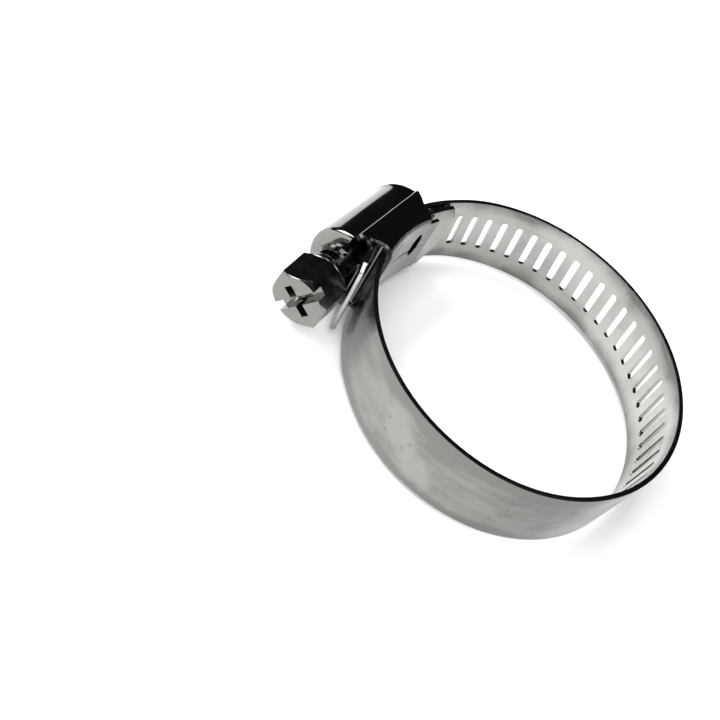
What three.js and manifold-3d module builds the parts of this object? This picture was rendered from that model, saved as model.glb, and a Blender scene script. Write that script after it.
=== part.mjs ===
// Worm-drive hose clamp: a perforated spring band, a stamped housing with its saddle,
// and a hex-head worm screw that winds the slotted tongue through the housing.
//
// Frame, in millimetres: the loop's axis is +Z and the clamp lies on the edges of its
// housing. The housing is at -X, the screw runs along Y, and its head points to -Y.
// Angles around the loop are in degrees from +X towards +Y. The band is one strip, and
// its angle keeps counting: it starts inside the housing, goes once round and passes
// over its own start, so 540 degrees is the tongue right under the worm.

import * as THREE from 'three';
import { mergeVertices } from 'three/addons/utils/BufferGeometryUtils.js';
import Module from 'manifold-3d';

const wasm = await Module();
wasm.setup();

// Band
const BAND_WIDTH = 12.7;
const BAND_THICKNESS = 0.65;
const MID_HEIGHT = BAND_WIDTH / 2;
// Mid-thickness radius at angles along the strip: sprung slightly out of round.
const LOOP = [
  [150, 23.62], [180, 23.62], [198, 23.62], [212, 23.55], [240, 23.71], [270, 24.05],
  [300, 24.5], [330, 24.55], [360, 24.26], [390, 24.05], [420, 23.98], [450, 23.95],
  [480, 24.2], [500, 24.55], [512, 24.72], [525, 25.08], [540, 25.3], [556, 25.5],
  [572, 25.55],
];
const STRIP_START = 152;
const STRIP_END = 570.5;
const FLEX_ANGLES = [240, 360, 480];
const SEAM_GAP = 0.3;
const STRIP_STEP = 5;

// Slots of the tongue
const SLOT_PITCH = 2.69;
const SLOT_LENGTH = 6.57;
const SLOT_WIDTH = 1.1;
const SLOT_SLANT = 7.5;
const SLOT_DATUM = 505.06;
const SLOT_FIRST = 341;
const SLOT_LAST = 564;

// Fixed end and tail of the band
const START_CHAMFER_LOW = [4.2, 1.95];
const START_CHAMFER_HIGH = [1.7, 1.0];
const TAIL_SLANT = 1.6;

// Housing
const ROOF_CENTRE_X = -26.05;
const ROOF_RADIUS = 6.5;
const SHEET = 0.65;
const SIDE_HALF = 7.45;
const SIDE_SHEET = 0.5;
const SHOULDER_X = -26.3;
const ROOF_HEAD_END = -8.3;
// Line of the side walls' cut edge at the head end, as [x, y] from shoulder to wing.
const SIDE_CUT = [[-26.6, -8.3], [-25.3, -7.5], [-24.2, -6.7], [-23.2, -6.15], [-20, -6.0]];
const WING_HEAD_END = -6.0;
const WING_BEND_OUTER = 1.88;
const WING_BEND_INNER = 1.38;
const TIP_END = 7.0;
const END_WALL = 0.6;
const COLLAR_INNER = 2.8;
const COLLAR_OUTER = 3.45;
const COLLAR_END = -9.5;
const COLLAR_LOWEST_X = -26.4;
const WING_INNER = 22.4;
const WING_OUTER = 23.0;
// Lens-shaped window through the wings and the band's fixed end.
const WINDOW_Y = 4.1;
const WINDOW_RISE = 1.0;
const WINDOW_HALF = [0.85, 2.4];
const WINDOW_FROM_X = -23.9;

// Saddle
const SADDLE_INNER = 24.2;
const SADDLE_OUTER = 24.5;
const SADDLE_HALF = 6.7;
const SADDLE_SHEET = 0.3;
const SADDLE_LEG_END = 23.7;
const SADDLE_END = 6.2;

// Worm screw, in its own frame: axis along Y, head at -Y
const SCREW_X = -27.95;
const SCREW_TILT = 3.4;
const THREAD_RADIUS = 3.15;
const ROOT_RADIUS = 2.05;
const THREAD_BASE_HALF = 0.4;
const THREAD_CREST_HALF = 0.12;
const THREAD_FROM = -5.4;
const THREAD_TO = 7.2;
const THREAD_STEPS_PER_TURN = 20;
const THREAD_BIAS = 0.03;
const TIP_RADIUS = 1.7;
const TIP_Y = 8.7;
const NECK_RADIUS = 2.2;
const NECK_FROM = -6.9;
const STEP_RADIUS = 3.7;
const STEP_FROM = -11.4;
const FLANGE_RADIUS = 4.15;
const FLANGE_FROM = -12.5;
const HEX_FROM = -12.95;
const HEAD_FACE = -18.5;
const HEX_ACROSS_FLATS = 7.94;
const HEX_CORNER_ANGLE = 24;
const HEX_CHAMFER = 0.7;
const DRIVE_ANGLE = 57;
const DRIVE_SLOT = [1.35, 1.5];
const DRIVE_CROSS = [1.1, 5.1, 2.1];

const rad = THREE.MathUtils.degToRad;
const loopCurve = new THREE.SplineCurve(LOOP.map(([a, r]) => new THREE.Vector2(a, r)));
const loopSamples = loopCurve.getPoints(900);

// Mid-thickness radius of the strip at an angle, read off the smooth curve through LOOP.
function stripRadius(angle) {
  let k = 1;
  while (k < loopSamples.length - 1 && loopSamples[k].x < angle) k += 1;
  const a = loopSamples[k - 1];
  const b = loopSamples[k];
  return THREE.MathUtils.lerp(a.y, b.y, (angle - a.x) / (b.x - a.x));
}

function polar(radius, angle) {
  return new THREE.Vector2(radius * Math.cos(rad(angle)), radius * Math.sin(rad(angle)));
}

// ---- booleans -----------------------------------------------------------------------

function toSolid(geometry) {
  const bare = geometry.clone();
  bare.deleteAttribute('normal');
  bare.deleteAttribute('uv');
  const merged = mergeVertices(bare, 1e-4);
  return new wasm.Manifold(new wasm.Mesh({
    numProp: 3,
    vertProperties: new Float32Array(merged.attributes.position.array),
    triVerts: new Uint32Array(merged.index.array),
  }));
}

function toGeometry(solid) {
  const mesh = solid.getMesh();
  const geometry = new THREE.BufferGeometry();
  geometry.setAttribute('position', new THREE.BufferAttribute(mesh.vertProperties, 3));
  geometry.setIndex(new THREE.BufferAttribute(mesh.triVerts, 1));
  geometry.computeVertexNormals();
  return geometry;
}

// ---- shapes -------------------------------------------------------------------------

function extrude(points, depth) {
  const shape = new THREE.Shape(points);
  return new THREE.ExtrudeGeometry(shape, { depth, bevelEnabled: false });
}

// Extrusion along Z between two heights of an outline in X and Y.
function upright(points, low, high) {
  return toSolid(extrude(points, high - low).translate(0, 0, low));
}

// Extrusion along Y between two stations of an outline given as [x, z] pairs.
function lengthwise(pairs, from, to) {
  const points = pairs.map(([x, z]) => new THREE.Vector2(x, -z));
  return toSolid(extrude(points, to - from).rotateX(-Math.PI / 2).translate(0, from, 0));
}

// Straight block between two corners.
function block(low, high) {
  const size = high.map((v, i) => v - low[i]);
  const box = new THREE.BoxGeometry(...size);
  return toSolid(box.translate(...low.map((v, i) => v + size[i] / 2)));
}

// Cylinder along Y between two stations, with an optional second radius at the far end.
function rod(radius, from, to, x = 0, z = 0, sides = 28, farRadius = radius) {
  const cylinder = new THREE.CylinderGeometry(farRadius, radius, to - from, sides);
  return toSolid(cylinder.translate(x, (from + to) / 2, z));
}

// Sector of a ring about the loop's axis, between two radii, two angles and two heights.
function ringSector(inner, outer, fromAngle, toAngle, low, high) {
  const steps = Math.ceil((toAngle - fromAngle) / 4);
  const points = [];
  for (let i = 0; i <= steps; i += 1) {
    points.push(polar(outer, THREE.MathUtils.lerp(fromAngle, toAngle, i / steps)));
  }
  for (let i = steps; i >= 0; i -= 1) {
    points.push(polar(inner, THREE.MathUtils.lerp(fromAngle, toAngle, i / steps)));
  }
  return upright(points, low, high);
}

// Cutter that pierces the strip radially. Its outline is in (along the strip, height).
function stripCutter(points, angle, turn = 0) {
  const reach = 2.4;
  const cutter = extrude(points, reach).translate(0, 0, -reach / 2).rotateZ(turn);
  const centre = polar(stripRadius(angle), angle);
  const outward = new THREE.Vector3(Math.cos(rad(angle)), Math.sin(rad(angle)), 0);
  const along = new THREE.Vector3(-outward.y, outward.x, 0);
  const place = new THREE.Matrix4().makeBasis(along, new THREE.Vector3(0, 0, 1), outward);
  place.setPosition(centre.x, centre.y, 0);
  return { cutter, place };
}

function corner(points, angle) {
  const { cutter, place } = stripCutter(points, angle);
  return toSolid(cutter.applyMatrix4(place));
}

// ---- band ---------------------------------------------------------------------------

function stripPiece(fromAngle, toAngle) {
  const steps = Math.ceil((toAngle - fromAngle) / STRIP_STEP);
  const outer = [];
  const inner = [];
  for (let i = 0; i <= steps; i += 1) {
    const angle = THREE.MathUtils.lerp(fromAngle, toAngle, i / steps);
    const radius = stripRadius(angle);
    outer.push(polar(radius + BAND_THICKNESS / 2, angle));
    inner.unshift(polar(radius - BAND_THICKNESS / 2, angle));
  }
  return upright([...outer, ...inner], 0, BAND_WIDTH);
}

function slotShape() {
  const half = SLOT_LENGTH / 2 - SLOT_WIDTH / 2;
  const shape = new THREE.Shape();
  shape.absarc(0, half, SLOT_WIDTH / 2, 0, Math.PI, false);
  shape.absarc(0, -half, SLOT_WIDTH / 2, Math.PI, 2 * Math.PI, false);
  return shape.getPoints(3).slice(0, -1);
}

function slotCutter(angle) {
  const { cutter, place } = stripCutter(slotShape(), angle, -rad(SLOT_SLANT));
  place.elements[14] = MID_HEIGHT;
  return toSolid(cutter.applyMatrix4(place));
}

// Next slot along the strip, one pitch of arc length further in the given direction.
function nextSlot(angle, direction) {
  const half = THREE.MathUtils.radToDeg(SLOT_PITCH / 2 / stripRadius(angle)) * direction;
  return angle + THREE.MathUtils.radToDeg(SLOT_PITCH / stripRadius(angle + half)) * direction;
}

function slotAngles() {
  const angles = [];
  for (let a = SLOT_DATUM; a > SLOT_FIRST; a = nextSlot(a, -1)) angles.unshift(a);
  for (let a = nextSlot(SLOT_DATUM, 1); a < SLOT_LAST; a = nextSlot(a, 1)) angles.push(a);
  return angles;
}

const slots = slotAngles();

function pierced(piece, fromAngle, toAngle) {
  let result = piece;
  for (const angle of slots) {
    if (angle > fromAngle - 3 && angle < toAngle + 3) {
      result = result.subtract(slotCutter(angle));
    }
  }
  return result;
}

// Both corners of the fixed end are clipped, the lower one more than the upper.
function clippedStart(piece) {
  const [lowHeight, lowRun] = START_CHAMFER_LOW;
  const [highHeight, highRun] = START_CHAMFER_HIGH;
  const low = [[-1, -1], [lowRun * (1 + 1 / lowHeight), -1], [0, lowHeight], [-1, lowHeight]];
  const top = BAND_WIDTH;
  const high = [[-1, top - highHeight], [0, top - highHeight],
    [highRun * (1 + 1 / highHeight), top + 1], [-1, top + 1]];
  const outline = (pairs) => pairs.map(([x, y]) => new THREE.Vector2(x, y));
  return piece.subtract(corner(outline(low), STRIP_START))
    .subtract(corner(outline(high), STRIP_START));
}

// The tail is cut off slightly askew: its lower corner reaches furthest.
function slantedTail(piece) {
  const outline = [[0, -1], [2, -1], [2, BAND_WIDTH + 1], [-TAIL_SLANT, BAND_WIDTH + 1]];
  const cut = outline.map(([x, y]) => new THREE.Vector2(x, y));
  return piece.subtract(corner(cut, STRIP_END));
}

function bandSolids() {
  const seam = THREE.MathUtils.radToDeg(SEAM_GAP / 2 / stripRadius(360));
  const limits = [STRIP_START, ...FLEX_ANGLES, STRIP_END];
  const pieces = [];
  for (let i = 0; i + 1 < limits.length; i += 1) {
    const from = limits[i] + (i > 0 ? seam : 0);
    const to = limits[i + 1] - (i + 2 < limits.length ? seam : 0);
    pieces.push(pierced(stripPiece(from, to), from, to));
  }
  pieces[0] = clippedStart(pieces[0]).subtract(lensWindow());
  pieces[3] = slantedTail(pieces[3]);
  return pieces;
}

// ---- housing ------------------------------------------------------------------------

// Half outline of the roof and side wall from the foot up to the ridge, as [x, z].
function shellOutline(radius, sideHalf, shoulderX, footX) {
  const points = [[footX, MID_HEIGHT - sideHalf], [shoulderX, MID_HEIGHT - sideHalf]];
  const arcSteps = 16;
  const start = rad(97);
  for (let i = 0; i <= arcSteps; i += 1) {
    const a = start + (rad(263) - start) * (i / arcSteps);
    points.push([ROOF_CENTRE_X + radius * Math.cos(a), MID_HEIGHT - radius * Math.sin(a)]);
  }
  points.push([shoulderX, MID_HEIGHT + sideHalf], [footX, MID_HEIGHT + sideHalf]);
  return points;
}

function housingSolid() {
  const footX = -21;
  const outside = lengthwise(shellOutline(ROOF_RADIUS, SIDE_HALF, SHOULDER_X, footX),
    ROOF_HEAD_END, TIP_END);
  const innerHalf = SIDE_HALF - SIDE_SHEET;
  const inside = lengthwise(
    shellOutline(ROOF_RADIUS - SHEET, innerHalf, SHOULDER_X + 0.3, footX + 1),
    ROOF_HEAD_END + END_WALL, TIP_END + 1);
  const cut = [[-26.6, ROOF_HEAD_END - 1], ...SIDE_CUT, [-20, ROOF_HEAD_END - 1]];
  const beyondSides = upright(cut.map(([x, y]) => new THREE.Vector2(x, y)), -5, 20);
  const mouth = block([-26.6, ROOF_HEAD_END - 1, MID_HEIGHT - innerHalf],
    [footX + 1, WING_HEAD_END, MID_HEIGHT + innerHalf]);
  let shell = outside.subtract(inside).subtract(beyondSides).subtract(mouth);

  const axisX = SCREW_X - ROOF_HEAD_END * Math.tan(rad(SCREW_TILT));
  const collar = rod(COLLAR_OUTER, COLLAR_END, ROOF_HEAD_END + END_WALL, axisX, MID_HEIGHT)
    .subtract(block([COLLAR_LOWEST_X, -12, 0], [-20, 0, BAND_WIDTH]));
  const opening = rod(COLLAR_INNER, COLLAR_END - 1, WING_HEAD_END - 0.7, axisX, MID_HEIGHT);
  shell = shell.add(collar).subtract(opening);

  const wings = ringSector(WING_INNER, WING_OUTER, 155, 205,
    MID_HEIGHT - SIDE_HALF, MID_HEIGHT + SIDE_HALF)
    .intersect(block([-30, WING_HEAD_END, -5], [-15, TIP_END, 20]));
  const bore = ringSector(10, WING_INNER, 150, 210, -5, 20);
  shell = shell.add(wings).subtract(bore);
  for (const side of [-1, 1]) {
    const { outsideBend, fold } = wingBend(side);
    shell = shell.subtract(outsideBend).add(fold);
  }
  return shell.subtract(wingSlit()).subtract(lensWindow());
}

// Rounded fold between a side wall and its wing: what lies outside it, and its sheet.
function wingBend(side) {
  const centreRadius = WING_INNER + WING_BEND_OUTER;
  const rise = SIDE_HALF - WING_BEND_OUTER;
  const heights = [MID_HEIGHT + side * rise, MID_HEIGHT + side * (SIDE_HALF + 1)];
  const quarter = ringSector(20, centreRadius, 150, 210, Math.min(...heights),
    Math.max(...heights));
  const [outer, inner] = [WING_BEND_OUTER, WING_BEND_INNER].map((radius) => toSolid(
    new THREE.TorusGeometry(centreRadius, radius, 32, 120)
      .translate(0, 0, MID_HEIGHT + side * rise)));
  const reach = upright([...SIDE_CUT, [-20, TIP_END], [-27, TIP_END]]
    .map(([x, y]) => new THREE.Vector2(x, y)), -5, 20);
  return {
    outsideBend: quarter.subtract(outer),
    fold: quarter.intersect(outer).subtract(inner).intersect(reach),
  };
}

// Lens-shaped window, seen along X.
function lensWindow() {
  const [halfY, halfZ] = WINDOW_HALF;
  const outline = new THREE.EllipseCurve(0, 0, halfY, halfZ).getPoints(20).slice(0, -1);
  const basis = new THREE.Matrix4().makeBasis(new THREE.Vector3(0, 1, 0),
    new THREE.Vector3(0, 0, 1), new THREE.Vector3(1, 0, 0));
  basis.setPosition(WINDOW_FROM_X, WINDOW_Y, MID_HEIGHT + WINDOW_RISE);
  return toSolid(extrude(outline, 6).applyMatrix4(basis));
}

// Where the two folded wings meet they leave a narrow crack.
function wingSlit() {
  const half = [[-8, 0.15], [-2.2, 0.15], [1.6, 0.22], [5, 0.15], [8, 0.15]];
  const points = [...half, ...half.map(([y, w]) => [y, -w]).reverse()];
  const outline = points.map(([y, w]) => new THREE.Vector2(y, w));
  const basis = new THREE.Matrix4().makeBasis(new THREE.Vector3(0, 1, 0),
    new THREE.Vector3(0, 0, 1), new THREE.Vector3(1, 0, 0));
  basis.setPosition(-23.4, 0, MID_HEIGHT);
  return toSolid(extrude(outline, 6).applyMatrix4(basis));
}

function saddleSolid() {
  const low = MID_HEIGHT - SADDLE_HALF;
  const high = MID_HEIGHT + SADDLE_HALF;
  const floor = ringSector(SADDLE_INNER, SADDLE_OUTER, 155, 205, low, high);
  const lowLeg = ringSector(SADDLE_LEG_END, SADDLE_OUTER, 155, 205, low, low + SADDLE_SHEET);
  const highLeg = ringSector(SADDLE_LEG_END, SADDLE_OUTER, 155, 205, high - SADDLE_SHEET, high);
  const reach = block([-30, -SADDLE_END, -5], [-15, SADDLE_END, 20]);
  return floor.add(lowLeg).add(highLeg).intersect(reach);
}

// ---- worm screw ---------------------------------------------------------------------

// Right-hand ridge: a trapezium swept round the axis while it advances along Y.
function threadRidge(ridgeY) {
  const buried = 0.4;
  const section = [
    new THREE.Vector2(ROOT_RADIUS - buried, -THREAD_BASE_HALF),
    new THREE.Vector2(ROOT_RADIUS, -THREAD_BASE_HALF),
    new THREE.Vector2(THREAD_RADIUS, -THREAD_CREST_HALF),
    new THREE.Vector2(THREAD_RADIUS, THREAD_CREST_HALF),
    new THREE.Vector2(ROOT_RADIUS, THREAD_BASE_HALF),
    new THREE.Vector2(ROOT_RADIUS - buried, THREAD_BASE_HALF),
  ];
  const turns = (THREAD_TO - THREAD_FROM) / SLOT_PITCH;
  const steps = Math.round(turns * THREAD_STEPS_PER_TURN);
  const ridge = new THREE.ExtrudeGeometry(new THREE.Shape(section),
    { depth: turns, steps, bevelEnabled: false });
  const position = ridge.attributes.position;
  for (let i = 0; i < position.count; i += 1) {
    const radius = position.getX(i);
    const station = THREAD_TO - position.getZ(i) * SLOT_PITCH;
    const turn = 2 * Math.PI * (station - ridgeY) / SLOT_PITCH;
    position.setXYZ(i, radius * Math.cos(turn), station + position.getY(i),
      -radius * Math.sin(turn));
  }
  return toSolid(ridge);
}

function hexHead() {
  const corner = HEX_ACROSS_FLATS / 2 / Math.cos(Math.PI / 6);
  const pairs = [];
  for (let i = 0; i < 6; i += 1) {
    const a = rad(HEX_CORNER_ANGLE + 60 * i);
    pairs.push([corner * Math.cos(a), corner * Math.sin(a)]);
  }
  const prism = lengthwise(pairs, HEAD_FACE, HEX_FROM);
  const cone = rod(corner - HEX_CHAMFER * 0.9, HEAD_FACE, HEAD_FACE + HEX_CHAMFER * 0.62,
    0, 0, 36, corner + 0.15)
    .add(rod(corner + 0.15, HEAD_FACE + HEX_CHAMFER * 0.62, HEX_FROM + 1, 0, 0, 36));
  return prism.intersect(cone);
}

// Combination drive: a slot right across the head and a shorter, deeper cross arm.
function driveCutter() {
  const [slotWidth, slotDepth] = DRIVE_SLOT;
  const [crossWidth, crossLength, crossDepth] = DRIVE_CROSS;
  const slot = new THREE.BoxGeometry(12, slotDepth + 1, slotWidth);
  const cross = new THREE.BoxGeometry(crossWidth, crossDepth + 1, crossLength);
  const socket = new THREE.BoxGeometry(crossLength, crossDepth + 1, crossWidth);
  slot.translate(0, HEAD_FACE + (slotDepth - 1) / 2, 0);
  cross.translate(0, HEAD_FACE + (crossDepth - 1) / 2, 0);
  socket.translate(0, HEAD_FACE + (crossDepth - 1) / 2, 0);
  return [slot, cross, socket]
    .map((geometry) => toSolid(geometry.rotateY(-rad(DRIVE_ANGLE))))
    .reduce((all, piece) => all.add(piece));
}

function screwSolid(ridgeY) {
  const core = rod(ROOT_RADIUS, NECK_FROM + 0.2, TIP_Y - 0.9, 0, 0, 28)
    .add(rod(ROOT_RADIUS, TIP_Y - 0.9, TIP_Y, 0, 0, 28, TIP_RADIUS));
  const neck = rod(NECK_RADIUS, STEP_FROM - 0.2, NECK_FROM + 0.3);
  const flange = rod(FLANGE_RADIUS, HEX_FROM - 0.05, FLANGE_FROM, 0, 0, 36);
  const step = rod(STEP_RADIUS, FLANGE_FROM - 0.1, STEP_FROM, 0, 0, 36);
  return core.add(threadRidge(ridgeY)).add(neck).add(step).add(flange).add(hexHead())
    .subtract(driveCutter());
}

// ---- assembly -----------------------------------------------------------------------

const BRIGHT = { color: 0xb9b8b4, roughness: 0.26, metalness: 1.0 };
const POLISHED = { color: 0x6d6b68, roughness: 0.14, metalness: 1.0 };
const TURNED = { color: 0x7b7974, roughness: 0.2, metalness: 1.0 };

function named(name, solid, look) {
  const mesh = new THREE.Mesh(toGeometry(solid), new THREE.MeshStandardMaterial(look));
  mesh.name = name;
  return mesh;
}

const engagedSlot = slots.reduce((best, a) => (
  Math.abs(a - 540) < Math.abs(best - 540) ? a : best));
// The ridge stands a little off the slot's middle at rest, so that it stays inside the
// slots while the band closes or opens on its three flexing places.
const ridgeY = stripRadius(engagedSlot) * Math.sin(rad(engagedSlot)) + THREAD_BIAS;

const [fixedEnd, headSide, tipSide, tongue] = bandSolids();
const clamp = new THREE.Group();
clamp.add(named('band_fixed_end', fixedEnd, BRIGHT));
clamp.add(named('band_head_side', headSide, BRIGHT));
clamp.add(named('band_tip_side', tipSide, BRIGHT));
clamp.add(named('band_tongue', tongue, BRIGHT));
clamp.add(named('housing', housingSolid(), POLISHED));
clamp.add(named('saddle', saddleSolid(), BRIGHT));

const screw = named('worm_screw', screwSolid(ridgeY), TURNED);
screw.position.set(SCREW_X, 0, MID_HEIGHT);
screw.rotation.z = rad(SCREW_TILT);
clamp.add(screw);

// The origin is under the middle of the whole clamp, on the plane that it lies on.
const bounds = new THREE.Box3().setFromObject(clamp, true);
const middle = bounds.getCenter(new THREE.Vector3());
clamp.position.set(-middle.x, -middle.y, -bounds.min.z);

const group = new THREE.Group();
group.add(clamp);

export default group;
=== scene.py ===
"""Worm-drive hose clamp: slotted spring band, stamped housing with its saddle, and screw.

Sizes are in millimetres until a finished mesh is scaled to metres. The frame is the
part's own: +Z along the loop's axis, the housing at -X, the screw's head towards -Y.
"""

import logging
import math
from dataclasses import dataclass, field
from enum import Enum
from functools import cached_property
from typing import Iterable, Sequence

import bmesh
import bpy
import numpy as np
from mathutils import Matrix, Vector


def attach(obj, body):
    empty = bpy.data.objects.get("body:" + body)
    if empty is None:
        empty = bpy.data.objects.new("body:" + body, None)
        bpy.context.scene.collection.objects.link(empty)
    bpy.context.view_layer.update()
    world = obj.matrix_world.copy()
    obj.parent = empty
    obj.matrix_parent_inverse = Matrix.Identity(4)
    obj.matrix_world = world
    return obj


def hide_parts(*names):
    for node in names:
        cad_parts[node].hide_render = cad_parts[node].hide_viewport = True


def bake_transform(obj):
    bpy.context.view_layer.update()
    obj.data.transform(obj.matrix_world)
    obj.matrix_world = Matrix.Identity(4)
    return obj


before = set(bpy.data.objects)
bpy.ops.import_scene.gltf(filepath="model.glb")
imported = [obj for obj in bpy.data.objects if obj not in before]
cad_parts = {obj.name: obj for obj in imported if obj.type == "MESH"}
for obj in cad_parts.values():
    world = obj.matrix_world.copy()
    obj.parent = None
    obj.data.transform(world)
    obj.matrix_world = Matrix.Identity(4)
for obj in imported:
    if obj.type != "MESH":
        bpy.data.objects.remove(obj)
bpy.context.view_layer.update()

log = logging.getLogger("hose_clamp")

MM = 0.001
Point = tuple[float, float]
# Merging distances in millimetres: after a cut, and where two sheets meet.
WELD = 0.001
SEAM_WELD = 0.02
# Least outward part of the normal of a face on the strip's outside, where the colour gets
# painted shade.
FACING_OUT = 0.7


class Body(Enum):
    """The rigid bodies of the clamp, by the names its joints use."""

    HOUSING = "clamp_housing"
    HEAD_SIDE = "head_side_band"
    TIP_SIDE = "tip_side_band"
    TONGUE = "tongue"
    SCREW = "screw"


# ---- shader groups --------------------------------------------------------------------


class NodeKit:
    """A short hand for placing and joining nodes in one tree."""

    def __init__(self, tree: bpy.types.NodeTree) -> None:
        """Keeps the tree that the nodes go into."""
        self.tree = tree

    def add(self, kind: str, **settings: object) -> bpy.types.Node:
        """Adds a node and sets its plain properties."""
        node = self.tree.nodes.new(kind)
        for key, value in settings.items():
            setattr(node, key, value)
        return node

    def join(self, source: bpy.types.NodeSocket, target: bpy.types.NodeSocket) -> None:
        """Links an output to an input."""
        self.tree.links.new(source, target)

    def maths(self, operation: str, *values: object) -> bpy.types.NodeSocket:
        """Adds a Math node.

        Args:
            operation: the Math node's operation.
            values: sockets or plain numbers, in the order of its inputs.

        Returns:
            The node's output.
        """
        node = self.add("ShaderNodeMath", operation=operation)
        for socket, value in zip(node.inputs, values):
            if isinstance(value, bpy.types.NodeSocket):
                self.join(value, socket)
            else:
                socket.default_value = value
        return node.outputs[0]

    def spread(self, value: bpy.types.NodeSocket, low: float, high: float,
               to_low: object = 0.0, to_high: object = 1.0) -> bpy.types.NodeSocket:
        """Maps a value from one range to another, clamped.

        Args:
            value: the socket to map.
            low: start of the range read.
            high: end of the range read.
            to_low: number or socket at the start.
            to_high: number or socket at the end.

        Returns:
            The mapped value.
        """
        node = self.add("ShaderNodeMapRange", clamp=True)
        self.join(value, node.inputs["Value"])
        node.inputs["From Min"].default_value = low
        node.inputs["From Max"].default_value = high
        for name, target in (("To Min", to_low), ("To Max", to_high)):
            if isinstance(target, bpy.types.NodeSocket):
                self.join(target, node.inputs[name])
            else:
                node.inputs[name].default_value = target
        return node.outputs["Result"]


def new_group(name: str, inputs: Sequence[tuple[str, str, object]],
              outputs: Sequence[tuple[str, str]]) -> tuple[bpy.types.NodeTree, NodeKit]:
    """Makes an empty shader group.

    Args:
        name: the group's name.
        inputs: name, socket type and default of each input.
        outputs: name and socket type of each output.

    Returns:
        The group and a kit for its nodes.
    """
    tree = bpy.data.node_groups.new(name, "ShaderNodeTree")
    for label, kind, default in inputs:
        socket = tree.interface.new_socket(label, in_out="INPUT", socket_type=kind)
        if default is not None:
            socket.default_value = default
    for label, kind in outputs:
        tree.interface.new_socket(label, in_out="OUTPUT", socket_type=kind)
    return tree, NodeKit(tree)


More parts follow.
